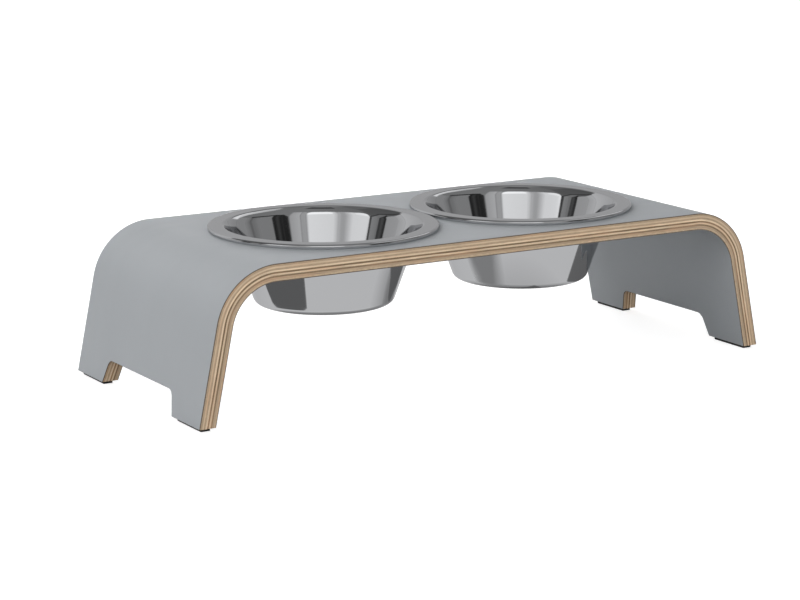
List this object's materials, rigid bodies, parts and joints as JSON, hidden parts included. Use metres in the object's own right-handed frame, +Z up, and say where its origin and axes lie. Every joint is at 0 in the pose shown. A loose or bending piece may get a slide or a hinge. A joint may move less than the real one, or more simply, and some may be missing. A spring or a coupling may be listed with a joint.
{
  "type": "dog feeding station",
  "caption": "Raised dog feeding bench of bent, laminate-faced plywood with notched legs and thin foot pads, holding lift-out steel bowls by their flanges.",
  "frame": {"origin": "on the floor, under the middle of the bench", "axes": "+X runs along the bench to the right, +Y to its rear edge, +Z up; the front edge faces -Y"},
  "size_m": [0.5792, 0.24, 0.1375],
  "materials": {
    "laminate": "smooth satin grey decorative laminate",
    "dark_veneer": "clear-coated end grain",
    "light_veneer": "clear-coated long grain",
    "pad": "matt black",
    "steel": "polished stainless steel"
  },
  "bodies": {
    "bench": {"top_laminate": "laminate", "veneer_1": "dark_veneer", "veneer_2": "light_veneer", "veneer_3": "dark_veneer", "veneer_4": "light_veneer", "veneer_5": "dark_veneer", "veneer_6": "light_veneer", "veneer_7": "dark_veneer", "veneer_8": "light_veneer", "veneer_9": "dark_veneer", "under_laminate": "laminate", "pad_left_front": "pad", "pad_left_rear": "pad", "pad_right_front": "pad", "pad_right_rear": "pad"},
    "left_bowl": {"bowl_left": "steel"},
    "right_bowl": {"bowl_right": "steel"}
  },
  "joints": [
    {"name": "left_bowl_lift", "type": "slide", "parent": "bench", "child": "left_bowl", "axis": [0, 0, 1], "range_m": [0, 0.09]},
    {"name": "right_bowl_lift", "type": "slide", "parent": "bench", "child": "right_bowl", "axis": [0, 0, 1], "range_m": [0, 0.09]}
  ]
}
